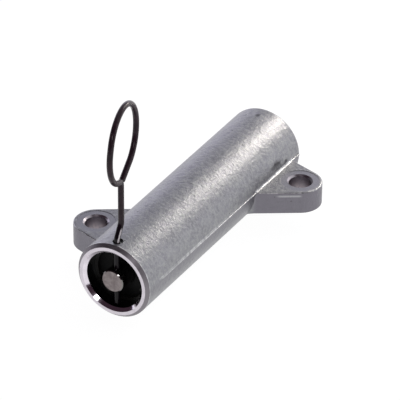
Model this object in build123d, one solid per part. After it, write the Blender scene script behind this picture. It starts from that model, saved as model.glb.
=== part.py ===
from build123d import *
import math
import os

# Hydraulic timing belt tensioner with its lock pin in place, in millimetres.
# The origin is midway between the two bolt holes, on the plane that the ears are bolted to.
# +Z runs up along the bolts and -Y is the way the push rod comes out.
# Depths are measured from the housing's open end, along its axis.

# Housing: the round body
housing_d = 32.0
housing_len = 118.6
body_draft = 0.4
front_chamfer_width = 1.3
front_chamfer_depth = 1.3
rear_edge_r = 1.4

# Housing: the ears, which are one shape turned half a turn
ear_reach = 11.0
front_ear_depth = 31.5
rear_ear_from_end = 19.5
ear_thickness = 9.7
ear_top_above_axis = 1.0
ear_tip_r = 9.05
ear_near_angle = 32.4
ear_far_angle = 16.3
ear_root_inset = 4.8
ear_flare_r = 11.0
ear_root_fillet_r = 1.0
ear_top_edge_r = 0.6
ear_under_edge_r = 0.3
bolt_hole_d = 9.0
bolt_hole_chamfer = 0.7
spot_face_margin = 3.3
spot_face_depth = 0.12

# Housing: the low rib along each side, on the ears' top plane
rib_ledge = 0.15
rib_spread = 0.8
rib_edge_r = 0.3
rib_face_slope = 0.23
rib_start_depth = 10.5

# Housing: shallow dents in the casting, each as its angle from the top towards +X, depth, radius and sink
dents = (
    (75.0, 98.6, 1.5, 0.22),
    (76.0, 100.9, 1.4, 0.22),
    (80.5, 106.7, 0.9, 0.15),
    (-1.0, 112.0, 1.3, 0.12))

# Housing: the bore
seal_bore_d = 24.2
bore_mouth_chamfer = 1.2
cylinder_bore_d = 22.0
bore_bottom_wall = 15.6
sleeve_seat_depth = 5.0

# Lock pin: the hole through housing and rod, and the wire
wire_d = 2.4
pin_hole_play = 1.8
pin_side_gap = 0.1
pin_hole_depth = 4.4
pin_tip_gap = 0.4
pin_lean_clear = 0.4
lean_angle = 29.0
lean_length = 5.05
bend_r = 3.0
stem_length = 15.95
ring_turn = 12.0
ring_neck_r = 2.2
ring_neck_angle = 74.0
ring_r = 14.3
ring_near_arc = 93.0
ring_near_run = 1.95
ring_end_gap = 0.1
ring_end_rise = 0.5
ring_aside_r = 8.0
ring_aside_angle = 3.0

# Snap ring
snap_ring_thickness = 1.2
snap_ring_width = 2.1
snap_groove_depth = 0.9
snap_groove_wall = 0.6
snap_groove_gap = 0.1
snap_ring_opening = 34.0
snap_ring_facing = 0.0
snap_lug_height = 1.6
snap_lug_angle = 17.0
snap_lug_hole_d = 1.3
snap_lug_hole_rise = 1.2

# Oil seal
seal_len = 6.0
seal_skin = 0.6
seal_case_wall = 0.8
seal_case_bottom_r = 8.2
seal_membrane = 0.9
seal_heel_r = 7.4
seal_lip_from_rear = 2.1
garter_wire_d = 1.1
garter_behind_lip = 0.33
garter_sink = 0.17

# Push rod
rod_d = 9.4
rod_tip_chamfer = 0.35
neck_d = 8.0
wear_ring_depth = 24.0
rod_bearing_depth = 57.0

# Wear ring and its clip
wear_ring_len = 8.0
wear_ring_recess = 1.5
oil_notch_count = 6
oil_notch_d = 2.4
clip_thickness = 1.0
clip_groove_depth = 0.5
clip_height = 1.0
clip_opening = 70.0
clip_facing = 90.0

# Sleeve and plunger
sleeve_front_depth = 60.0
sleeve_wall = 2.0
sleeve_bottom = 3.0
plunger_d = 12.0
plunger_front_depth = 50.0
plunger_room = 15.0
plunger_cup_wall = 1.8
oil_passage_d = 3.0
side_port_d = 2.0
valve_pocket_wall = 1.4
valve_pocket_depth = 8.0

# Check valve
seat_thickness = 3.0
seat_hole_d = 2.0
seat_cone_depth = 0.6
ball_d = 3.5
ball_lift = 0.4
retainer_sheet = 0.5
retainer_cup_gap = 0.5
retainer_slot_count = 3
retainer_slot_width = 1.0
check_spring_wire = 0.3
check_spring_d = 2.0
check_spring_turns = 3
check_spring_room = 1.2

# Springs
return_spring_wire = 1.6
return_spring_turns = 12
plunger_spring_wire = 1.0
plunger_spring_turns = 7

# Clearances between pieces
press_gap = 0.01
running_gap = 0.05
seat_gap = 0.03
spring_play = 0.1

# How far a cutter runs past a surface, and how near to a surface an edge counts as on it
cut_overrun = 1.0
hair = 0.01

# Places worked out from the sizes above
housing_r = housing_d / 2
bolt_x = housing_r + ear_reach
ear_spacing = housing_len - front_ear_depth - rear_ear_from_end
front_y = -ear_spacing / 2 - front_ear_depth
axis_z = ear_thickness - ear_top_above_axis
seal_bore_r = seal_bore_d / 2
cylinder_r = cylinder_bore_d / 2
rod_r = rod_d / 2
neck_r = neck_d / 2
wire_r = wire_d / 2
pin_hole_d = wire_d + pin_hole_play
pin_depth = pin_hole_depth - pin_hole_play / 2 + pin_side_gap
snap_front_depth = pin_hole_depth + pin_hole_d / 2 + snap_groove_wall
seal_front_depth = snap_front_depth + snap_ring_thickness + snap_groove_gap / 2
seal_rear_depth = seal_front_depth + seal_len
bore_bottom_depth = housing_len - bore_bottom_wall
sleeve_rear_depth = bore_bottom_depth + sleeve_seat_depth
sleeve_in_r = plunger_d / 2 + running_gap
sleeve_out_r = sleeve_in_r + sleeve_wall
chamber_end_depth = sleeve_rear_depth - sleeve_bottom
wear_ring_rear_depth = wear_ring_depth + wear_ring_len
plunger_rear_depth = chamber_end_depth - plunger_room
pocket_r = plunger_d / 2 - valve_pocket_wall
pocket_front_depth = plunger_rear_depth - valve_pocket_depth
seat_rear_depth = pocket_front_depth + seat_thickness
return_spring_r = (sleeve_out_r + cylinder_r) / 2

# The housing's axis: a piece modelled along +Z from the open end goes here
AXIS = Pos(0, front_y, axis_z) * Rot(-90, 0, 0)


def turned(*corners):
    """A solid of revolution about the housing's axis, from (depth, radius) corners, seam down."""
    outline = Polyline(*[(radius, depth) for depth, radius in corners], close=True)
    return AXIS * Rot(0, 0, 90) * revolve(Plane.XZ * make_face(outline), Axis.Z)


def coil(radius, wire, start, end, turns):
    """A coil spring on the housing's axis between two depths, with its ends ground flat."""
    overrun = wire / 4
    height = end - start - wire + 2 * overrun
    path = Helix(pitch=height / turns, height=height, radius=radius)
    section = Plane(origin=path @ 0, z_dir=path % 0) * Circle(wire / 2)
    wound = Pos(0, 0, start + wire / 2 - overrun) * sweep(section, path, is_frenet=True)
    ground = Pos(0, 0, start) * Cylinder(
        radius + wire, end - start, align=(Align.CENTER, Align.CENTER, Align.MIN))
    return AXIS * (wound & ground)


def axial_bar(diameter, radius, angle, front, length):
    """A bar that lies beside the housing's axis, at a radius and an angle round it."""
    bar = Cylinder(diameter / 2, length, align=(Align.CENTER, Align.CENTER, Align.MIN))
    return AXIS * Rot(0, 0, angle) * Pos(radius, 0, front) * bar


def upright_bar(diameter, depth, low, high):
    """A vertical bar at a depth, between two heights above the housing's axis."""
    bar = Cylinder(diameter / 2, high - low, align=(Align.CENTER, Align.CENTER, Align.MIN))
    return Pos(0, front_y + depth, axis_z + low) * bar


def ring_sector(inner, outer, front, thickness, middle, arc):
    """A piece of a flat ring, as wide as its arc in degrees, about its middle angle."""
    section = Pos((inner + outer) / 2, front + thickness / 2) * Rectangle(outer - inner, thickness)
    return AXIS * Rot(0, 0, middle - arc / 2) * revolve(Plane.XZ * section, Axis.Z, arc)


# Housing

def ear():
    """The ear at +X: flat walls round its tip, a flare on its near side, and rounded edges."""
    near = math.radians(ear_near_angle)
    far = math.radians(ear_far_angle)
    root_x = housing_r - ear_root_inset
    near_touch = (bolt_x + ear_tip_r * math.sin(near), -ear_tip_r * math.cos(near))
    far_touch = (bolt_x + ear_tip_r * math.sin(far), ear_tip_r * math.cos(far))
    near_root_y = near_touch[1] - (near_touch[0] - root_x) * math.tan(near)
    far_root = (root_x, far_touch[1] + (far_touch[0] - root_x) * math.tan(far))
    flare_run = ear_flare_r * math.tan((math.pi / 2 - near) / 2)
    flare_start = (root_x, near_root_y - flare_run)
    flare_end = (root_x + flare_run * math.cos(near), near_root_y + flare_run * math.sin(near))
    outline = RadiusArc(flare_start, flare_end, ear_flare_r)
    outline += Line(flare_end, near_touch)
    outline += ThreePointArc(near_touch, (bolt_x + ear_tip_r, 0), far_touch)
    outline += Polyline(far_touch, far_root, flare_start)
    blank = extrude(make_face(outline), ear_thickness)
    for height, radius in ((ear_thickness, ear_top_edge_r), (0, ear_under_edge_r)):
        level = blank.edges().filter_by_position(Axis.Z, height - hair, height + hair)
        blank = fillet([e for e in level if (e @ 0.5).X > root_x + hair], radius)
    return Pos(0, ear_spacing / 2, 0) * blank


def body_radius(depth):
    """The round body's radius, which grows a little towards the rear."""
    return housing_r + body_draft * depth / housing_len


def side_rib():
    """The low wedge at +X: its ledge is level with the ear's top and widens towards the rear."""
    ledge_x = math.sqrt(body_radius(rib_start_depth) ** 2 - ear_top_above_axis ** 2) + rib_ledge
    root_x = housing_r - ear_root_inset
    low_z = ear_top_above_axis - ear_thickness / 2
    low_x = ledge_x - rib_face_slope * (ear_top_above_axis - low_z)
    outline = Polyline(
        (root_x, ear_top_above_axis), (ledge_x, ear_top_above_axis),
        (low_x, low_z), (root_x, low_z), close=True)
    length = housing_len - rear_edge_r - rib_start_depth
    bar = extrude(Plane.XZ * make_face(outline), -length)
    bar = fillet(bar.edges().filter_by(Axis.Y).sort_by(Axis.X)[-1], rib_edge_r)
    spread_angle = math.degrees(math.atan(rib_spread / length))
    return Pos(0, front_y + rib_start_depth, axis_z) * Rot(0, 0, -spread_angle) * bar


def dent_cutter(angle, depth, radius, sink):
    """A ball that leaves a dent this wide and deep in the round body."""
    ball_r = (radius ** 2 + sink ** 2) / (2 * sink)
    out = body_radius(depth) - sink + ball_r
    side = math.radians(angle)
    return Pos(out * math.sin(side), front_y + depth, axis_z + out * math.cos(side)) * Sphere(ball_r)


def round_body():
    """The outside of the cylinder, with its front chamfer and its rounded rear edge."""
    return turned(
        (0, 0), (0, housing_r - front_chamfer_width), (front_chamfer_depth, housing_r),
        (housing_len, body_radius(housing_len)), (housing_len, 0))


def bore_space():
    """Everything that the boring tools take out of the housing."""
    groove_r = seal_bore_r + snap_groove_depth
    groove_rear = snap_front_depth + snap_ring_thickness + snap_groove_gap
    return turned(
        (0, 0), (0, seal_bore_r + bore_mouth_chamfer), (bore_mouth_chamfer, seal_bore_r),
        (snap_front_depth, seal_bore_r), (snap_front_depth, groove_r),
        (groove_rear, groove_r), (groove_rear, seal_bore_r),
        (seal_rear_depth, seal_bore_r), (seal_rear_depth, cylinder_r),
        (bore_bottom_depth, cylinder_r), (bore_bottom_depth, sleeve_out_r + press_gap),
        (sleeve_rear_depth, sleeve_out_r + press_gap), (sleeve_rear_depth, 0))


def bolt_hole_space():
    """A bolt's hole with its chamfer, and the spot face on top."""
    hole_r = bolt_hole_d / 2
    chamfer_r = hole_r + bolt_hole_chamfer
    spot_face_r = hole_r + spot_face_margin
    floor = ear_thickness - spot_face_depth
    outline = Polyline(
        (0, 0), (hole_r, 0), (hole_r, floor - bolt_hole_chamfer), (chamfer_r, floor),
        (spot_face_r, floor), (spot_face_r, ear_thickness), (0, ear_thickness), close=True)
    return revolve(Plane.XZ * make_face(outline), Axis.Z)


def ear_roots(body):
    """The edges where the ears run into the round body."""
    def on_body(point):
        return abs(math.hypot(point.X, point.Z - axis_z) - body_radius(point.Y - front_y)) < hair
    return [e for e in body.edges()
            if all(on_body(e @ t) for t in (0, 0.5, 1))
            and abs((e @ 0.5).X) > hair and e.geom_type != GeomType.CIRCLE]


def make_housing():
    ears = ear() + Rot(0, 0, 180) * ear()
    body = round_body() + ears
    body = fillet(ear_roots(body), ear_root_fillet_r)
    rear_rim = body.edges().filter_by(GeomType.CIRCLE).filter_by_position(
        Axis.Y, front_y + housing_len - hair, front_y + housing_len + hair)
    body = fillet(rear_rim, rear_edge_r)
    body += side_rib() + mirror(side_rib(), Plane.YZ)
    for dent in dents:
        body -= dent_cutter(*dent)
    body -= bore_space()
    body -= upright_bar(pin_hole_d, pin_hole_depth, 0, housing_r + cut_overrun)
    for side in (1, -1):
        body -= Pos(side * bolt_x, side * ear_spacing / 2, 0) * bolt_hole_space()
    return body


housing = make_housing()


# Lock pin

def wire_path(start, heading, moves):
    """Straight runs and tangent arcs, one after the other, as one path for a wire."""
    place = Vector(*start)
    ahead = Vector(*heading)
    edges = []
    for move in moves:
        if len(move) == 1:
            end = place + ahead * move[0]
            edges.append(Line(place, end))
        else:
            radius, angle, about = move
            about = about(ahead) if callable(about) else about
            turn = Axis((0, 0, 0), about)
            centre = place + about.cross(ahead) * radius
            middle = centre + (place - centre).rotate(turn, angle / 2)
            end = centre + (place - centre).rotate(turn, angle)
            edges.append(ThreePointArc(place, middle, end))
            ahead = ahead.rotate(turn, angle)
        place = end
    return Wire(edges)


def ring_far_side():
    """The ring's second arc in degrees, and the straight run that brings its end to the stem's top."""
    neck = math.radians(ring_neck_angle)
    climb = math.radians(90 + ring_neck_angle - ring_near_arc)
    centre_x = (ring_neck_r + ring_r) * math.cos(neck) - ring_neck_r + ring_near_run * math.cos(climb)
    centre_z = (ring_neck_r + ring_r) * math.sin(neck) + ring_near_run * math.sin(climb)
    end_x = wire_d + ring_end_gap
    reach = math.hypot(end_x - centre_x, ring_end_rise - centre_z)
    leave = math.atan2(ring_end_rise - centre_z, end_x - centre_x) + math.acos(ring_r / reach)
    arc = 90 + math.degrees(climb - leave)
    run = math.sqrt(reach ** 2 - ring_r ** 2) - ring_aside_r * math.radians(ring_aside_angle)
    return arc, run


def make_lock_pin():
    """One wire: up through the holes, a lean backwards, a stem, and the finger ring."""
    turn = math.radians(ring_turn)
    ring_axis = Vector(math.cos(turn), math.sin(turn), 0)
    across = Vector(1, 0, 0)
    tip_z = axis_z - seal_bore_r + pin_tip_gap
    lean_z = axis_z + housing_r + pin_lean_clear
    far_arc, end_run = ring_far_side()
    path = wire_path(
        (0, front_y + pin_depth, tip_z), (0, 0, 1),
        [(lean_z - tip_z,),
         (bend_r, lean_angle, -across),
         (lean_length,),
         (bend_r, lean_angle, across),
         (stem_length,),
         (ring_neck_r, ring_neck_angle, ring_axis),
         (ring_r, ring_near_arc, -ring_axis),
         (ring_near_run,),
         (ring_r, far_arc, -ring_axis),
         (ring_aside_r, ring_aside_angle, ring_axis.cross),
         (end_run,)])
    return sweep(Plane(origin=path @ 0, z_dir=path % 0) * Circle(wire_r), path)


lock_pin = make_lock_pin()


# Snap ring and oil seal

def make_snap_ring():
    """An inside snap ring, with a lug and a hole for the pliers at each end."""
    outer = seal_bore_r + snap_groove_depth - press_gap
    inner = outer - snap_ring_width
    lug_r = inner - snap_lug_height
    ring = ring_sector(inner, outer, snap_front_depth, snap_ring_thickness,
                       snap_ring_facing + 180, 360 - snap_ring_opening)
    for side in (1, -1):
        middle = snap_ring_facing + side * (snap_ring_opening + snap_lug_angle) / 2
        ring += ring_sector(lug_r, outer, snap_front_depth, snap_ring_thickness, middle, snap_lug_angle)
        ring -= axial_bar(snap_lug_hole_d, lug_r + snap_lug_hole_rise, middle,
                          snap_front_depth, snap_ring_thickness)
    return ring


def make_seal():
    """The seal's steel case, its rubber and its garter spring."""
    outer = seal_bore_r - press_gap
    case_out = outer - seal_skin
    case_in = case_out - seal_case_wall
    case_front = seal_front_depth + seal_skin
    case_rear = seal_rear_depth - seal_skin
    web_rear = case_front + seal_case_wall
    case = turned(
        (case_front, seal_case_bottom_r), (case_front, case_out), (case_rear, case_out),
        (case_rear, case_in), (web_rear, case_in), (web_rear, seal_case_bottom_r))
    lip_r = rod_r + running_gap
    membrane_rear = web_rear + seal_membrane
    lip_depth = seal_rear_depth - seal_lip_from_rear
    garter_depth = lip_depth + garter_behind_lip
    garter_r = seal_heel_r - garter_sink
    rubber = turned(
        (seal_front_depth, lip_r + seal_skin), (seal_front_depth, outer),
        (seal_rear_depth, outer), (seal_rear_depth, case_in), (case_rear, case_in),
        (web_rear, case_in), (membrane_rear, seal_case_bottom_r),
        (membrane_rear + seal_skin, seal_heel_r), (seal_rear_depth - seal_skin / 2, seal_heel_r),
        (seal_rear_depth - seal_skin / 2, lip_r + seal_skin * 2), (lip_depth, lip_r),
        (lip_depth - seal_membrane, lip_r + seal_skin), (case_front + seal_skin, lip_r + seal_skin),
        (seal_front_depth + seal_skin / 2, lip_r))
    rubber -= case
    groove = AXIS * Pos(0, 0, garter_depth) * Torus(garter_r, garter_wire_d / 2 + press_gap)
    garter = AXIS * Pos(0, 0, garter_depth) * Torus(garter_r, garter_wire_d / 2)
    return case, rubber - groove, garter


snap_ring = make_snap_ring()
seal_case, oil_seal, seal_garter_spring = make_seal()


# Push rod, wear ring and clip

def bearing_cone_start():
    """The depth at which the cone in the plunger's cup begins, so the rod's end seats on it."""
    cup_r = plunger_d / 2 - plunger_cup_wall
    touch_r = neck_r * math.sin(math.radians(45))
    end_centre = rod_bearing_depth - neck_r
    return end_centre + neck_r * math.cos(math.radians(45)) + seat_gap - (cup_r - touch_r)


def make_push_rod():
    """The rod: its tip, the cross hole, the neck with the clip's groove, and the round rear end."""
    clip_front = wear_ring_rear_depth + press_gap
    groove_r = neck_r - clip_groove_depth
    end_centre = rod_bearing_depth - neck_r
    bar = turned(
        (0, 0), (0, rod_r - rod_tip_chamfer), (rod_tip_chamfer, rod_r), (wear_ring_depth, rod_r),
        (wear_ring_depth, neck_r), (clip_front, neck_r), (clip_front, groove_r),
        (clip_front + clip_thickness + snap_groove_gap, groove_r),
        (clip_front + clip_thickness + snap_groove_gap, neck_r), (end_centre, neck_r), (end_centre, 0))
    bar += AXIS * Pos(0, 0, end_centre) * Sphere(neck_r)
    return bar - upright_bar(pin_hole_d, pin_hole_depth, -rod_r - cut_overrun, rod_r + cut_overrun)


def make_wear_ring():
    """The rod's guide ring, with notches for the oil and a seat for the return spring."""
    outer = cylinder_r - running_gap
    bore = neck_r + press_gap
    seat_out = return_spring_r + return_spring_wire / 2 + spring_play
    seat_in = return_spring_r - return_spring_wire / 2 - spring_play
    seat_depth = wear_ring_rear_depth - wear_ring_recess
    ring = turned(
        (wear_ring_depth, bore), (wear_ring_depth, outer), (wear_ring_rear_depth, outer),
        (wear_ring_rear_depth, seat_out), (seat_depth, seat_out), (seat_depth, seat_in),
        (wear_ring_rear_depth, seat_in), (wear_ring_rear_depth, bore))
    for place in range(oil_notch_count):
        angle = 360 * (place + 0.5) / oil_notch_count
        ring -= axial_bar(oil_notch_d, outer, angle, wear_ring_depth, wear_ring_len)
    return ring


def make_wear_ring_clip():
    return ring_sector(neck_r - clip_groove_depth + press_gap, neck_r + clip_height,
                       wear_ring_rear_depth + 2 * press_gap, clip_thickness,
                       clip_facing + 180, 360 - clip_opening)


push_rod = make_push_rod()
wear_ring = make_wear_ring()
wear_ring_clip = make_wear_ring_clip()


# Sleeve, plunger and check valve

def make_sleeve():
    """The steel cup that stands in the bore's bottom and guides the plunger."""
    return turned(
        (sleeve_front_depth, sleeve_in_r), (sleeve_front_depth, sleeve_out_r),
        (sleeve_rear_depth, sleeve_out_r), (sleeve_rear_depth, 0),
        (chamber_end_depth, 0), (chamber_end_depth, sleeve_in_r))


def make_plunger():
    """The plunger: a cup with a cone for the rod's end, an oil passage and the valve's pocket."""
    outer = plunger_d / 2
    cup_r = outer - plunger_cup_wall
    passage_r = oil_passage_d / 2
    cone_start = bearing_cone_start()
    cone_end = cone_start + cup_r - passage_r
    body = turned(
        (plunger_front_depth, cup_r), (plunger_front_depth, outer), (plunger_rear_depth, outer),
        (plunger_rear_depth, pocket_r), (pocket_front_depth, pocket_r), (pocket_front_depth, passage_r),
        (cone_end, passage_r), (cone_start, cup_r))
    port_depth = cone_end + side_port_d / 2 + seat_gap
    return body - upright_bar(side_port_d, port_depth, 0, plunger_d)


def make_check_valve():
    """The valve's seat, ball, spring and cage, from front to rear."""
    ball_r = ball_d / 2
    touch = ball_r * math.sin(math.radians(45))
    cone_front = seat_rear_depth - seat_cone_depth
    hole_r = seat_hole_d / 2
    ball_depth = cone_front + (touch - hole_r) + touch + seat_gap
    seat_out = pocket_r - press_gap
    seat = turned(
        (pocket_front_depth, hole_r), (pocket_front_depth, seat_out), (seat_rear_depth, seat_out),
        (seat_rear_depth, hole_r + seat_cone_depth), (cone_front, hole_r))
    ball = AXIS * Pos(0, 0, ball_depth) * Sphere(ball_r)
    cup_in = ball_r + retainer_cup_gap
    cup_out = cup_in + retainer_sheet
    flange_rear = seat_rear_depth + retainer_sheet
    spring_in_r = (check_spring_d - check_spring_wire) / 2
    spring_front = ball_depth + math.sqrt(ball_r ** 2 - spring_in_r ** 2) + seat_gap
    cup_floor = ball_depth + ball_r + ball_lift + check_spring_room
    cup_rear = cup_floor + retainer_sheet
    cage = turned(
        (seat_rear_depth, cup_in), (seat_rear_depth, seat_out), (flange_rear, seat_out),
        (flange_rear, cup_out), (cup_rear, cup_out), (cup_rear, 0), (cup_floor, 0), (cup_floor, cup_in))
    slot = Pos(0, 0, ball_depth) * Box(
        cup_out + cut_overrun, retainer_slot_width, ball_r, align=(Align.MIN, Align.CENTER, Align.CENTER))
    for place in range(retainer_slot_count):
        cage -= AXIS * Rot(0, 0, 360 * place / retainer_slot_count) * slot
    spring = coil(check_spring_d / 2, check_spring_wire, spring_front, cup_floor, check_spring_turns)
    return seat, ball, cage, spring


sleeve = make_sleeve()
plunger = make_plunger()
valve_seat, check_ball, ball_retainer, check_ball_spring = make_check_valve()


# Springs

def make_return_spring():
    """The spring round the sleeve, from the wear ring's seat to the bore's bottom."""
    front = wear_ring_rear_depth - wear_ring_recess + seat_gap
    rear = bore_bottom_depth - seat_gap
    return coil(return_spring_r, return_spring_wire, front, rear, return_spring_turns)


def make_plunger_spring():
    """The spring round the valve's cage, from the cage's flange to the sleeve's bottom."""
    cage_r = ball_d / 2 + retainer_cup_gap + retainer_sheet
    front = seat_rear_depth + retainer_sheet + seat_gap
    rear = chamber_end_depth - seat_gap
    return coil((cage_r + pocket_r) / 2, plunger_spring_wire, front, rear, plunger_spring_turns)


return_spring = make_return_spring()
plunger_spring = make_plunger_spring()


# One file for each piece

pieces = {
    "housing": housing,
    "lock_pin": lock_pin,
    "snap_ring": snap_ring,
    "oil_seal": oil_seal,
    "seal_case": seal_case,
    "seal_garter_spring": seal_garter_spring,
    "push_rod": push_rod,
    "wear_ring": wear_ring,
    "wear_ring_clip": wear_ring_clip,
    "return_spring": return_spring,
    "sleeve": sleeve,
    "plunger": plunger,
    "plunger_spring": plunger_spring,
    "valve_seat": valve_seat,
    "check_ball": check_ball,
    "check_ball_spring": check_ball_spring,
    "ball_retainer": ball_retainer,
}

os.makedirs("parts", exist_ok=True)
for name, piece in pieces.items():
    export_step(piece, os.path.join("parts", name + ".step"))
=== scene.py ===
import math

import bpy
from mathutils import Euler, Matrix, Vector


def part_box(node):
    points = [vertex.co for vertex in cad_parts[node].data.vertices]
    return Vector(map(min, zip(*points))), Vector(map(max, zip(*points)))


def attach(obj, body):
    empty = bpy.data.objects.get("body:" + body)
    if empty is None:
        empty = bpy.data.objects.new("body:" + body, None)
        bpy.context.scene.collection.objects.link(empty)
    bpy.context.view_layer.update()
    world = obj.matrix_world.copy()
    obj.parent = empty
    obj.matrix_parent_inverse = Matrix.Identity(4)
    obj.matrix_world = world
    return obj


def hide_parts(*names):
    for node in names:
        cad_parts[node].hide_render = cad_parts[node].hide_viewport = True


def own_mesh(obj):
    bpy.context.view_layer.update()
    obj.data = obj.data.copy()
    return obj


# Looks for the hydraulic timing belt tensioner. Lengths are in metres, in the CAD frame:
# +Z runs up along the bolts, -Y is the way the push rod comes out, and the housing lies along Y.

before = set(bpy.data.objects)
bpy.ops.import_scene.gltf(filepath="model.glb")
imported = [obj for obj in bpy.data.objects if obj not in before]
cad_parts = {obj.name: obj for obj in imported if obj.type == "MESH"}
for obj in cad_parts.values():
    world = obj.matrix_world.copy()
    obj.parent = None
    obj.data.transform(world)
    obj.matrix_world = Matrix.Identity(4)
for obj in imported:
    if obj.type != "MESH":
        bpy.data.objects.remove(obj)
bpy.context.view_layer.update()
scene = bpy.context.scene
scene.view_settings.view_transform = "Standard"

MM = 0.001

# Places read from the CAD frame
housing_low, housing_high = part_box("housing")
rod_low, rod_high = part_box("push_rod")
FRONT_Y = housing_low.y
AXIS_Z = (rod_low.z + rod_high.z) / 2
LENGTH = housing_high.y - FRONT_Y
FLOOR_Z = housing_low.z - 0.1 * MM

# Sizes of the housing's forms, which its finishes follow
BODY_R = 16.0 * MM
BODY_DRAFT = 0.4 * MM
MOUTH_R = 13.9 * MM
CHAMFER_DEPTH = 1.4 * MM
EAR_TOP_Z = AXIS_Z + 1.0 * MM
EAR_ROOT_R = 1.0 * MM
BOLT_X = 27.0 * MM
BOLT_Y = 33.8 * MM
BOLT_HOLE_R = 4.5 * MM
BOLT_CHAMFER = 0.7 * MM
SPOT_FACE_R = 7.8 * MM
SPOT_FACE_DEPTH = 0.12 * MM
PIN_HOLE_DEPTH = 4.4 * MM
PIN_HOLE_R = 2.1 * MM
BORE_REACH = 0.82 * BODY_R
ROD_EDGE_DEPTH = 0.33 * MM

# How near a point counts as on a face, and as on a dent's ball, and the shortest move that counts
ON_FACE = 0.02 * MM
ON_BALL = 0.004 * MM
LEAST_MOVE = 0.001 * MM

# The rings that a lathe leaves, from one to the next
RING_PITCH = 0.16 * MM

# The dents beside the rear ear, each as its angle from the top towards +X, depth, radius and sink
SIDE_DENTS = (
    (75.0, 98.6 * MM, 1.5 * MM, 0.22 * MM),
    (76.0, 100.9 * MM, 1.4 * MM, 0.22 * MM),
    (80.5, 106.7 * MM, 0.9 * MM, 0.15 * MM))

# The way the lock pin's lean faces where a painted reflection streak lies on it
PAINTED_STREAK_SIDE = (0.868, -0.497, 0.0)

# The photo's camera: its place, its turn, dip and roll in degrees, and its lens and sensor in millimetres
CAMERA_PLACE = (0.505424, -0.867430, 0.648342)
CAMERA_TURN = 30.210
CAMERA_DIP = 32.449
CAMERA_ROLL = 0.522
CAMERA_LENS = 270.0
CAMERA_SENSOR = 36.0

# The floor: its half width in metres, the level it bounces, and how it looks to the camera and in mirrors
FLOOR_REACH = 1.2
FLOOR_BOUNCE = 0.8
FLOOR_SHADED = 0.13
FLOOR_GLOW = 0.955

# Painted shade in the dents beside the rear ear, and a dark spot on the rear top, each as its angle from the
# top towards +X, depth, length and width
DARK_MARKS = (
    (75.0, 99.7 * MM, 4.2 * MM, 2.0 * MM),
    (81.5, 106.7 * MM, 1.8 * MM, 1.1 * MM),
    (-1.0, 112.0 * MM, 1.8 * MM, 1.1 * MM))


# Node helpers

class Tree:
    """A material's node tree, with short ways to add and join nodes."""

    def __init__(self, material):
        material.use_nodes = True
        self.tree = material.node_tree
        self.tree.nodes.clear()

    def add(self, kind, settings=None, **inputs):
        """Adds a node. An input is a value or another node's output, with _ for a space in its name."""
        node = self.tree.nodes.new(kind)
        for name, value in (settings or {}).items():
            setattr(node, name, value)
        for name, value in inputs.items():
            key = int(name[1:]) if name[0] == "i" and name[1:].isdigit() else name.replace("_", " ")
            self.join(node.inputs[key], value)
        return node

    def join(self, socket, value):
        if isinstance(value, bpy.types.NodeSocket):
            self.tree.links.new(value, socket)
        else:
            socket.default_value = value

    def math(self, operation, *values):
        node = self.add("ShaderNodeMath", {"operation": operation})
        for socket, value in zip(node.inputs, values):
            self.join(socket, value)
        return node.outputs[0]

    def band(self, value, low, high, to_low=0.0, to_high=1.0):
        """value's place between low and high, clamped and eased, mapped to the new ends."""
        node = self.add("ShaderNodeMapRange", {"interpolation_type": "SMOOTHSTEP"}, Value=value)
        for name, number in (("From Min", low), ("From Max", high), ("To Min", to_low), ("To Max", to_high)):
            self.join(node.inputs[name], number)
        return node.outputs[0]

    def noise(self, where, size, detail=2.0, rough=0.5, seed=0.0):
        """Noise from 0 to 1, with lumps of about this size in metres."""
        node = self.add("ShaderNodeTexNoise", {"noise_dimensions": "4D"}, Vector=where, W=seed,
                        Scale=1.0 / size, Detail=detail, Roughness=rough)
        return node.outputs["Fac"]

    def mix(self, share, first, second):
        """Mixes two colours."""
        node = self.add("ShaderNodeMix", {"data_type": "RGBA"})
        self.join(node.inputs[0], share)
        self.join(node.inputs[6], first)
        self.join(node.inputs[7], second)
        return node.outputs[2]

    def bump(self, height, distance, strength=1.0, normal=None):
        node = self.add("ShaderNodeBump", Height=height, Distance=distance, Strength=strength)
        if normal is not None:
            self.join(node.inputs["Normal"], normal)
        return node.outputs[0]

    def place(self):
        """The point on the object, in metres in the CAD frame."""
        return self.add("ShaderNodeTexCoord").outputs["Object"]

    def surface(self, **inputs):
        """The shader itself, joined to the output."""
        shader = self.add("ShaderNodeBsdfPrincipled", **inputs)
        out = self.add("ShaderNodeOutputMaterial")
        self.join(out.inputs["Surface"], shader.outputs[0])


def new_tree(name):
    material = bpy.data.materials.new(name)
    return material, Tree(material)


def grey(level, warm=0.0):
    """A colour of this brightness, warmer (redder) above 0 and cooler below."""
    return (level * (1 + warm), level, level * (1 - warm), 1.0)


def lavender(level):
    """The faintly violet grey of the casting."""
    return (level, level * 0.99, level * 1.10, 1.0)


def rosy(level):
    """The faintly pink grey of the cut faces."""
    return (level * 1.03, level * 0.965, level * 1.05, 1.0)


# Materials

def axis_radius(t, where):
    """The distance from the housing's axis."""
    spot = t.add("ShaderNodeSeparateXYZ", Vector=where)
    up = t.math("SUBTRACT", spot.outputs[2], AXIS_Z)
    return t.math("SQRT", t.math("ADD", t.math("MULTIPLY", spot.outputs[0], spot.outputs[0]),
                                 t.math("MULTIPLY", up, up)))


def near_value(t, value, middle, reach):
    """1 where the value is at the middle, falling to 0 at the reach on both sides."""
    away = t.math("ABSOLUTE", t.math("SUBTRACT", value, middle))
    return t.band(away, 0.0, reach, 1.0, 0.0)


def joined(t, operation, masks):
    """All the masks taken together by one operation, in their order."""
    result = masks[0]
    for mask in masks[1:]:
        result = t.math(operation, result, mask)
    return result


def product(t, *masks):
    """All the masks multiplied."""
    return joined(t, "MULTIPLY", masks)


def largest(t, *masks):
    """The largest of the masks."""
    return joined(t, "MAXIMUM", masks)


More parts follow.
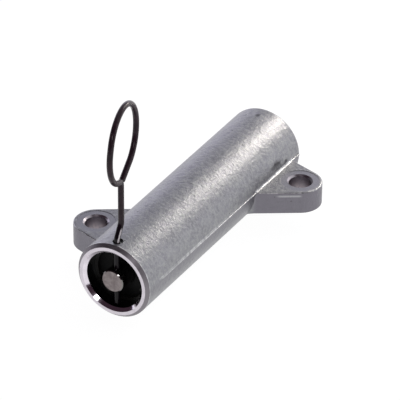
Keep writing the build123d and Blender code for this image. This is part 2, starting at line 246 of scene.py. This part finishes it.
def surface_normal(t):
    """The surface's own way out, as its X, Y and Z parts."""
    return t.add("ShaderNodeSeparateXYZ", Vector=t.add("ShaderNodeNewGeometry").outputs["Normal"]).outputs


def worn_and_highlit_rims(t, where):
    """1 along the housing's edges, which are worn and carry a painted highlight: its front rim, the ears'
    rims, and the ribs' edges and roots.
    """
    spot = t.add("ShaderNodeSeparateXYZ", Vector=where)
    tilt = surface_normal(t)[2]
    front_rim = near_value(t, spot.outputs[1], FRONT_Y + CHAMFER_DEPTH, 0.5 * MM)
    aside = t.math("ABSOLUTE", spot.outputs[0])
    on_ear = t.band(aside, BODY_R + 1.0 * MM, BODY_R + 1.6 * MM)
    tilted = t.math("MULTIPLY", t.band(tilt, 0.97, 0.90), t.band(tilt, 0.10, 0.20))
    top_edge = near_value(t, spot.outputs[2], EAR_TOP_Z - 0.2 * MM, 0.4 * MM)
    ear_rim = product(t, on_ear, top_edge, tilted)
    by_body = t.math("MULTIPLY", t.band(aside, BODY_R - 0.6 * MM, BODY_R - 0.3 * MM),
                     t.band(aside, BODY_R + 1.6 * MM, BODY_R + 1.2 * MM))
    at_ledge = t.math("MULTIPLY", t.band(spot.outputs[2], EAR_TOP_Z - 0.5 * MM, EAR_TOP_Z - 0.3 * MM),
                      t.band(spot.outputs[2], EAR_TOP_Z + 1.0 * MM, EAR_TOP_Z + 0.7 * MM))
    ledge = product(t, by_body, at_ledge, tilted)
    return largest(t, front_rim, ear_rim, ledge)


def painted_dent_shade_and_spot(t, where):
    """1 in the dark patches: painted shade in the dents beside the rear ear, and a dark spot on the rear top.
    """
    marks = []
    for angle, depth, length, width in DARK_MARKS:
        side = math.radians(angle)
        middle = Vector((BODY_R * math.sin(side), FRONT_Y + depth, AXIS_Z + BODY_R * math.cos(side)))
        away = t.add("ShaderNodeVectorMath", {"operation": "SUBTRACT"}, i0=where, i1=middle).outputs[0]
        shrunk = t.add("ShaderNodeVectorMath", {"operation": "MULTIPLY"}, i0=away,
                       i1=(1 / width, 1 / length, 1 / width)).outputs[0]
        reach = t.add("ShaderNodeVectorMath", {"operation": "LENGTH"}, i0=shrunk).outputs["Value"]
        ragged = t.math("ADD", reach, t.noise(where, 1.0 * MM, 2, 0.6, 16.0))
        marks.append(t.band(ragged, 1.7, 0.9))
    return largest(t, *marks)


def painted_wall_highlight(t, where):
    """1 along the painted highlight line below the bolt hole, on the rear ear's front wall."""
    spot = t.add("ShaderNodeSeparateXYZ", Vector=where)
    toward_rear = surface_normal(t)[1]
    return product(t, near_value(t, spot.outputs[2], EAR_TOP_Z - 1.7 * MM, 0.7 * MM),
                   t.band(spot.outputs[0], 23.0 * MM, 25.0 * MM),
                   t.band(spot.outputs[0], 32.5 * MM, 31.0 * MM),
                   t.band(toward_rear, -0.5, -0.7))


def ear_wall_shade(t, where):
    """1 on the ears' steep side walls, where shade is painted into the colour."""
    spot = t.add("ShaderNodeSeparateXYZ", Vector=where)
    aside = t.math("ABSOLUTE", spot.outputs[0])
    steep = t.band(t.math("ABSOLUTE", surface_normal(t)[2]), 0.7, 0.5)
    low = t.band(spot.outputs[2], EAR_TOP_Z, EAR_TOP_Z - 0.4 * MM)
    return product(t, t.band(aside, BODY_R - 1.0 * MM, BODY_R + 1.0 * MM), steep, low)


def cast_aluminium():
    """Shot blasted die casting: soft grey, with glittering grains and faint blotches; worn edges with a
    painted highlight, a painted highlight line on the rear ear's wall, and painted shade on the ears' side
    walls and in the dents.
    """
    material, t = new_tree("cast_aluminium")
    where = t.place()
    blotch = t.noise(where, 7 * MM, 3, 0.55, 1.0)
    lumps = t.noise(where, 2.6 * MM, 2, 0.5, 4.0)
    grain = t.noise(where, 1.3 * MM, 3, 0.65, 2.0)
    fine = t.noise(where, 0.4 * MM, 1, 0.5, 3.0)
    pores = t.band(t.noise(where, 1.3 * MM, 1, 0.4, 14.0), 0.74, 0.80)
    patchy = t.noise(where, 1.6 * MM, 2, 0.6, 15.0)
    base = t.mix(t.band(blotch, 0.3, 0.7), lavender(0.205), lavender(0.26))
    grained = t.mix(t.band(grain, 0.3, 0.7), base, grey(0.34, -0.02))
    # painted shade: the ears' side walls in a fixed darker grey
    wall_shaded = t.mix(ear_wall_shade(t, where), grained, (0.205, 0.197, 0.225, 1))
    pored = t.mix(pores, wall_shaded, grey(0.07, -0.03))
    # painted shade in the rear ear's dents, and a dark spot on the rear top
    dent_shaded = t.mix(t.math("MULTIPLY", painted_dent_shade_and_spot(t, where), 0.7), pored, lavender(0.06))
    # lighter edges: partly real wear, partly a painted highlight along the rims
    wear_and_highlight = t.math("MULTIPLY", worn_and_highlit_rims(t, where), t.band(patchy, 0.35, 0.65, 0.2, 1.0))
    # a painted highlight line on the rear ear's front wall
    wear_and_highlight = t.math("MAXIMUM", wear_and_highlight, t.math("MULTIPLY", painted_wall_highlight(t, where), 0.5))
    colour = t.mix(wear_and_highlight, dent_shaded, grey(0.62, -0.01))
    rounded = t.add("ShaderNodeBevel", {"samples": 4}, Radius=0.2 * MM).outputs[0]
    swells = t.bump(lumps, 0.35 * MM, 0.6, rounded)
    grains = t.bump(grain, 0.32 * MM, 0.8, swells)
    finest = t.bump(fine, 0.05 * MM, 0.6, grains)
    rough = t.math("SUBTRACT", t.band(grain, 0.3, 0.7, 0.38, 0.46), t.math("MULTIPLY", wear_and_highlight, 0.10))
    t.surface(Base_Color=colour, Metallic=0.9, Roughness=rough, Normal=finest)
    return material


def turned_aluminium(name, level, rough, ring_depth, dull_above=0.0):
    """A lathe turned face, with fine rings about the axis, and rougher by dull_above in its top half."""
    material, t = new_tree(name)
    where = t.place()
    rings = t.math("SINE", t.math("MULTIPLY", axis_radius(t, where), 2 * math.pi / RING_PITCH))
    smear = t.noise(where, 2.5 * MM, 2, 0.5, 5.0)
    colour = t.mix(t.band(smear, 0.3, 0.7), rosy(level * 0.88), rosy(level))
    normal = t.bump(rings, ring_depth, 0.5)
    up = t.add("ShaderNodeSeparateXYZ", Vector=where).outputs[2]
    duller = t.band(up, AXIS_Z + 1.0 * MM, AXIS_Z + 8.0 * MM, 0.0, dull_above)
    roughness = t.math("ADD", t.band(smear, 0.3, 0.7, rough, rough * 1.3), duller)
    t.surface(Base_Color=colour, Metallic=1.0, Roughness=roughness, Normal=normal)
    return material


def bored_aluminium():
    """The bore: turned smooth and oily, so it mirrors the black seal and the pin."""
    material, t = new_tree("bored_aluminium")
    where = t.place()
    film = t.noise(where, 4 * MM, 2, 0.5, 6.0)
    colour = t.mix(t.band(film, 0.3, 0.7), grey(0.13, -0.02), grey(0.21, -0.05))
    t.surface(Base_Color=colour, Metallic=1.0, Roughness=t.band(film, 0.3, 0.7, 0.14, 0.22))
    return material


def drilled_aluminium():
    """The bolt holes' walls: dull, with painted light from the floor making them brighter and browner towards
    the bottom.
    """
    material, t = new_tree("drilled_aluminium")
    where = t.place()
    marks = t.noise(where, 0.9 * MM, 2, 0.6, 7.0)
    spot = t.add("ShaderNodeSeparateXYZ", Vector=where)
    high = t.band(spot.outputs[2], 0.0, EAR_TOP_Z)
    # painted light: the walls lit brown from the floor below, darker towards the top
    painted_bounce = t.mix(high, (0.52, 0.44, 0.46, 1), (0.12, 0.115, 0.14, 1))
    colour = t.mix(t.band(marks, 0.3, 0.7), painted_bounce, (0.24, 0.22, 0.25, 1))
    t.surface(Base_Color=colour, Metallic=0.8, Roughness=0.34, Normal=t.bump(marks, 0.03 * MM, 0.5))
    return material


def milled_aluminium():
    """Spot faces and the ears' undersides: cut flat, with fine tool marks."""
    material, t = new_tree("milled_aluminium")
    where = t.place()
    marks = t.noise(where, 0.5 * MM, 2, 0.6, 7.0)
    colour = t.mix(t.band(marks, 0.3, 0.7), lavender(0.25), lavender(0.31))
    normal = t.bump(marks, 0.02 * MM, 0.5)
    t.surface(Base_Color=colour, Metallic=0.95, Roughness=0.36, Normal=normal)
    return material


def steel(name, colour_level, warm, rough, mark_size, mark_depth):
    """Bare steel with fine marks."""
    material, t = new_tree(name)
    where = t.place()
    marks = t.noise(where, mark_size, 3, 0.6, 8.0)
    colour = t.mix(t.band(marks, 0.3, 0.7), grey(colour_level * 0.85, warm), grey(colour_level, warm))
    normal = t.bump(marks, mark_depth, 0.5)
    t.surface(Base_Color=colour, Metallic=1.0, Roughness=t.band(marks, 0.3, 0.7, rough * 0.85, rough * 1.15),
              Normal=normal)
    return material


def rod_end_steel():
    """The rod's end as it was cut off the bar: dull, mottled and a little brown."""
    material, t = new_tree("rod_end_steel")
    where = t.place()
    marks = t.noise(where, 2.2 * MM, 3, 0.65, 17.0)
    fine = t.noise(where, 0.7 * MM, 2, 0.6, 18.0)
    colour = t.mix(t.band(marks, 0.35, 0.65), (0.165, 0.140, 0.142, 1), (0.26, 0.228, 0.228, 1))
    t.surface(Base_Color=colour, Metallic=1.0, Roughness=t.band(marks, 0.3, 0.7, 0.30, 0.42),
              Normal=t.bump(fine, 0.05 * MM, 0.5))
    return material


def dark_wire():
    """Lacquered wire: dark brown, satin above, and black and glossy near the housing, with a painted
    reflection streak along the lean's right side.
    """
    material, t = new_tree("dark_wire")
    where = t.place()
    spot = t.add("ShaderNodeSeparateXYZ", Vector=where)
    worn = t.noise(where, 2.2 * MM, 3, 0.6, 9.0)
    fine = t.noise(where, 0.5 * MM, 2, 0.5, 10.0)
    high = t.band(spot.outputs[2], AXIS_Z + 1.25 * BODY_R, AXIS_Z + 1.6 * BODY_R)
    brown = t.mix(t.band(worn, 0.35, 0.7), (0.022, 0.011, 0.017, 1), (0.044, 0.024, 0.032, 1))
    colour = t.mix(high, (0.010, 0.007, 0.010, 1), brown)
    # painted reflection: a bright streak along the right side of the lock pin's lean
    facing = t.add("ShaderNodeVectorMath", {"operation": "DOT_PRODUCT"}, i1=PAINTED_STREAK_SIDE,
                   i0=t.add("ShaderNodeNewGeometry").outputs["Normal"]).outputs["Value"]
    painted_streak = product(t, t.band(facing, 0.90, 0.97), t.band(worn, 0.30, 0.45),
                     t.band(spot.outputs[2], AXIS_Z + 1.36 * BODY_R, AXIS_Z + 1.30 * BODY_R),
                     t.band(spot.outputs[2], AXIS_Z + 1.0 * BODY_R, AXIS_Z + 1.04 * BODY_R))
    colour = t.mix(painted_streak, colour, (0.80, 0.76, 0.78, 1))
    normal = t.bump(fine, 0.02 * MM, 0.6)
    t.surface(Base_Color=colour, Roughness=t.band(high, 0.0, 1.0, 0.10, 0.22), Specular_IOR_Level=0.14,
              Coat_Weight=0.10, Coat_Roughness=0.06, Normal=normal)
    return material


def rubber():
    material, t = new_tree("seal_rubber")
    where = t.place()
    grain = t.noise(where, 0.6 * MM, 2, 0.5, 11.0)
    colour = t.mix(grain, grey(0.003), grey(0.006))
    t.surface(Base_Color=colour, Roughness=t.band(grain, 0.3, 0.7, 0.45, 0.58), Specular_IOR_Level=0.12,
              Normal=t.bump(grain, 0.01 * MM, 0.4))
    return material


def ring_plastic():
    material, t = new_tree("ring_plastic")
    where = t.place()
    grain = t.noise(where, 0.8 * MM, 2, 0.5, 12.0)
    colour = t.mix(grain, (0.13, 0.11, 0.09, 1), (0.18, 0.16, 0.13, 1))
    t.surface(Base_Color=colour, Roughness=0.5, Normal=t.bump(grain, 0.01 * MM, 0.4))
    return material


def black_steel():
    material, t = new_tree("black_steel")
    where = t.place()
    grain = t.noise(where, 0.6 * MM, 2, 0.5, 13.0)
    colour = t.mix(grain, grey(0.012, 0.05), grey(0.022, 0.08))
    t.surface(Base_Color=colour, Metallic=0.5, Roughness=0.4, Normal=t.bump(grain, 0.01 * MM, 0.4))
    return material


# Pieces that stand for solids whose shape isn't as it should be

def body_radius(depth):
    """The round body's radius, which grows a little towards the rear."""
    return BODY_R + BODY_DRAFT * depth / LENGTH


def dent_ball(angle, depth, radius, sink):
    """The middle and radius of the ball that cuts a dent."""
    ball_r = (radius ** 2 + sink ** 2) / (2 * sink)
    out = body_radius(depth) - sink + ball_r
    side = math.radians(angle)
    return Vector((out * math.sin(side), FRONT_Y + depth, AXIS_Z + out * math.cos(side))), ball_r


def on_whole_ear(place):
    """Where a point in a dent belongs if the rear ear's top and its root are whole, and the way out there."""
    root_z = EAR_TOP_Z + EAR_ROOT_R
    reach = body_radius(place.y - FRONT_Y) + EAR_ROOT_R
    root_x = math.sqrt(reach ** 2 - (root_z - AXIS_Z) ** 2)
    if place.x < root_x:
        away = Vector((place.x - root_x, 0, place.z - root_z)).normalized()
        if away.z > (AXIS_Z - root_z) / reach:
            return place.copy(), None
        return Vector((root_x, place.y, root_z)) + away * EAR_ROOT_R, -away
    from_hole = Vector((place.x - BOLT_X, place.y - BOLT_Y, 0))
    sunk = max(0, BOLT_HOLE_R + BOLT_CHAMFER - from_hole.length)
    way_out = Vector((0, 0, 1))
    if sunk > 0:
        way_out = (way_out - from_hole.normalized()).normalized()
    step = SPOT_FACE_DEPTH if from_hole.length < SPOT_FACE_R else 0
    return Vector((place.x, place.y, EAR_TOP_Z - step - sunk)), way_out


def stand_in(name, node, body):
    """A copy of a solid's mesh that stands for the solid, so that its shape may change."""
    piece = bpy.data.objects.new(name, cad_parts[node].data.copy())
    scene.collection.objects.link(piece)
    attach(piece, body)
    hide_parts(node)
    return piece


def make_casting():
    """The housing as the solid has it, without the dents that reach into the rear ear's top."""
    casting = stand_in("housing_casting", "housing", "housing")
    mesh = casting.data
    normals = [corner.vector.copy() for corner in mesh.corner_normals]
    moved = set()
    for dent in SIDE_DENTS:
        middle, ball_r = dent_ball(*dent)
        for vertex in mesh.vertices:
            if abs((vertex.co - middle).length - ball_r) < ON_BALL:
                place = on_whole_ear(vertex.co)[0]
                if (place - vertex.co).length > LEAST_MOVE:
                    vertex.co = place
                    moved.add(vertex.index)
    mesh.update()
    for face in mesh.polygons:
        way_out = on_whole_ear(face.center)[1]
        if way_out and moved.intersection(face.vertices):
            for corner in face.loop_indices:
                normals[corner] = way_out
    mesh.normals_split_custom_set(normals)
    return casting


def make_ball_spring():
    """The check ball's spring, which in the real part shortens as the ball lifts, as a copy with a mesh of
    its own.
    """
    spring = stand_in("ball_spring", "check_ball_spring", "push_rod")
    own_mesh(spring)
    return spring


# Which material each piece has

def housing_finish(place, normal):
    """The finish of the housing at a face's middle: cast outside, and cut where tools have been."""
    depth = place.y - FRONT_Y
    radius = math.hypot(place.x, place.z - AXIS_Z)
    from_bolt = math.hypot(abs(place.x) - BOLT_X, abs(place.y) - BOLT_Y)
    from_pin = math.hypot(place.x, depth - PIN_HOLE_DEPTH)
    if depth < CHAMFER_DEPTH + ON_FACE and normal.y < -0.99:
        return "end_face"
    if depth < CHAMFER_DEPTH + ON_FACE and normal.y < -0.3:
        return "front_chamfer" if radius > MOUTH_R else "mouth_chamfer"
    if radius < BORE_REACH and depth < LENGTH - ON_FACE:
        return "bored"
    if from_bolt < BOLT_HOLE_R + ON_FACE and abs(normal.z) < 0.3:
        return "drilled"
    if from_bolt < BOLT_HOLE_R + 1.0 * MM and 0.3 < normal.z < 0.95:
        return "hole_chamfer"
    on_spot_face = from_bolt < SPOT_FACE_R + ON_FACE and normal.z > 0.95
    if on_spot_face or place.z < ON_FACE and normal.z < -0.95:
        return "milled"
    if from_pin < PIN_HOLE_R + ON_FACE and place.z > AXIS_Z and normal.z < 0.3:
        return "bored"
    return "cast"


def paint_housing(mesh):
    """Gives each of the housing's faces its finish."""
    finishes = {
        "cast": cast_aluminium(),
        "end_face": turned_aluminium("end_face_aluminium", 0.64, 0.24, 0.004 * MM),
        "front_chamfer": turned_aluminium("front_chamfer_aluminium", 0.25, 0.42, 0.004 * MM),
        "mouth_chamfer": turned_aluminium("mouth_chamfer_aluminium", 0.76, 0.10, 0.001 * MM, 0.28),
        "hole_chamfer": turned_aluminium("hole_chamfer_aluminium", 0.45, 0.28, 0.004 * MM),
        "bored": bored_aluminium(),
        "drilled": drilled_aluminium(),
        "milled": milled_aluminium()}
    order = {name: number for number, name in enumerate(finishes)}
    mesh.materials.clear()
    for finish in finishes.values():
        mesh.materials.append(finish)
    for face in mesh.polygons:
        face.material_index = order[housing_finish(face.center, face.normal)]


def paint_rod():
    """Gives the rod its ground steel, its tip the dull end that was cut off the bar, and the tip's chamfer a
    darker copy of the steel as painted shade.
    """
    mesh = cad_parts["push_rod"].data
    mesh.materials.clear()
    mesh.materials.append(steel("ground_steel", 0.45, 0.03, 0.14, 0.4 * MM, 0.004 * MM))
    mesh.materials.append(rod_end_steel())
    # painted shade: the tip's chamfer in the same steel, made darker
    mesh.materials.append(steel("rod_edge_shaded_steel", 0.20, 0.03, 0.10, 0.4 * MM, 0.002 * MM))
    for face in mesh.polygons:
        at_tip = face.center.y < FRONT_Y + ON_FACE
        on_edge = face.center.y < FRONT_Y + ROD_EDGE_DEPTH and face.normal.y < -0.3
        face.material_index = 1 if at_tip else 2 if on_edge else 0


def paint(material, *pieces):
    """Gives pieces, or CAD nodes by name, one material."""
    for piece in pieces:
        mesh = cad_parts[piece].data if isinstance(piece, str) else piece.data
        mesh.materials.clear()
        mesh.materials.append(material)


paint_housing(make_casting().data)
paint(dark_wire(), "lock_pin")
paint(rubber(), "oil_seal")
paint_rod()
paint(steel("case_steel", 0.42, 0.03, 0.3, 0.5 * MM, 0.01 * MM),
      "seal_case", "sleeve", "plunger", "valve_seat")
paint(steel("spring_steel", 0.30, 0.02, 0.35, 0.6 * MM, 0.01 * MM),
      "return_spring", "plunger_spring", make_ball_spring(), "ball_retainer", "seal_garter_spring")
paint(steel("ball_steel", 0.65, 0.0, 0.08, 0.4 * MM, 0.001 * MM), "check_ball")
paint(ring_plastic(), "wear_ring")
paint(black_steel(), "snap_ring", "wear_ring_clip")


# Floor, world, lamps and camera

def make_floor():
    """A white floor under the housing, which shows white and keeps a soft shadow."""
    mesh = bpy.data.meshes.new("floor")
    signs = ((-1, -1), (1, -1), (1, 1), (-1, 1))
    corners = [(x * FLOOR_REACH, y * FLOOR_REACH, FLOOR_Z) for x, y in signs]
    mesh.from_pydata(corners, [], [(0, 1, 2, 3)])
    floor = bpy.data.objects.new("floor", mesh)
    scene.collection.objects.link(floor)
    material, t = new_tree("floor_white")
    seen = background_seen(t)
    plain = t.add("ShaderNodeBsdfDiffuse", Color=grey(FLOOR_BOUNCE))
    soft = t.add("ShaderNodeBsdfDiffuse", Color=grey(FLOOR_SHADED))
    glow = t.add("ShaderNodeEmission", Color=grey(1.0), Strength=FLOOR_GLOW)
    both = t.add("ShaderNodeAddShader", i0=soft.outputs[0], i1=glow.outputs[0])
    choice = t.add("ShaderNodeMixShader", i0=seen, i1=plain.outputs[0], i2=both.outputs[0])
    out = t.add("ShaderNodeOutputMaterial")
    t.join(out.inputs["Surface"], choice.outputs[0])
    mesh.materials.append(material)


def background_seen(t):
    """1 for the rays that show the background itself: straight to the camera, mirrored or through glass."""
    paths = t.add("ShaderNodeLightPath")
    mirrored = t.math("MAXIMUM", paths.outputs["Is Camera Ray"], paths.outputs["Is Glossy Ray"])
    return t.math("MAXIMUM", mirrored, paths.outputs["Is Transmission Ray"])


def make_world():
    """A studio: white to the camera, and round the object pale behind it and dark in front of it."""
    world = bpy.data.worlds.new("studio")
    scene.world = world
    t = Tree(world)
    heading = t.add("ShaderNodeTexCoord").outputs["Generated"]
    spot = t.add("ShaderNodeSeparateXYZ", Vector=heading)
    aside, along, up = spot.outputs
    left = t.band(aside, 0.2, -0.7)
    horizon = t.mix(left, (1.45, 1.44, 1.50, 1), (1.75, 1.70, 1.98, 1))
    ceiling = t.mix(left, (0.78, 0.78, 0.80, 1), (0.53, 0.53, 0.585, 1))
    behind = t.mix(t.band(up, 0.05, 0.50), horizon, ceiling)
    in_front = t.math("MULTIPLY", t.band(along, 0.08, -0.10), t.band(up, -0.02, 0.06))
    room = t.mix(in_front, behind, (0.042, 0.024, 0.034, 1))
    straight = t.add("ShaderNodeLightPath").outputs["Is Camera Ray"]
    colour = t.mix(straight, room, grey(1.0))
    light = t.add("ShaderNodeBackground", Color=colour, Strength=1.0)
    out = t.add("ShaderNodeOutputWorld")
    t.join(out.inputs["Surface"], light.outputs[0])


def make_lamp(name, heading, distance, width, power, colour, target):
    """A square soft box that stands this way from its target and shines at it."""
    data = bpy.data.lights.new(name, "AREA")
    data.shape = "RECTANGLE"
    data.size = width
    data.size_y = width
    data.energy = power
    data.color = colour
    lamp = bpy.data.objects.new(name, data)
    scene.collection.objects.link(lamp)
    way = Vector(heading).normalized()
    lamp.location = Vector(target) + way * distance
    lamp.rotation_mode = "QUATERNION"
    lamp.rotation_quaternion = way.to_track_quat("Z", "Y")
    return lamp


def make_camera():
    """The photo's camera: a long lens that looks down on the tensioner's open end."""
    turn, dip, roll = math.radians(CAMERA_TURN), math.radians(CAMERA_DIP), math.radians(CAMERA_ROLL)
    data = bpy.data.cameras.new("camera")
    data.sensor_width = CAMERA_SENSOR
    data.lens = CAMERA_LENS
    data.clip_end = 20.0
    camera = bpy.data.objects.new("camera", data)
    scene.collection.objects.link(camera)
    camera.location = CAMERA_PLACE
    tilt = Euler((math.pi / 2 - dip, 0, turn)).to_matrix() @ Euler((0, 0, roll)).to_matrix()
    camera.rotation_mode = "QUATERNION"
    camera.rotation_quaternion = tilt.to_quaternion()
    scene.camera = camera


make_floor()
make_world()
make_lamp("back_softbox", heading=(0.25, 0.73, 0.64), distance=0.45, width=0.15, power=0.32,
          colour=(1.0, 0.95, 0.88), target=(0, 0.05, AXIS_Z))
make_lamp("rear_lamp", heading=(0.25, 0.73, 0.64), distance=0.15, width=0.05, power=0.08,
          colour=(1.0, 0.93, 0.82), target=(0, 0.055, AXIS_Z))
make_lamp("front_lamp", heading=(0.41, -0.68, 0.61), distance=1.45, width=0.28, power=2.4,
          colour=(1.0, 0.98, 1.0), target=(0, FRONT_Y, AXIS_Z))
make_camera()
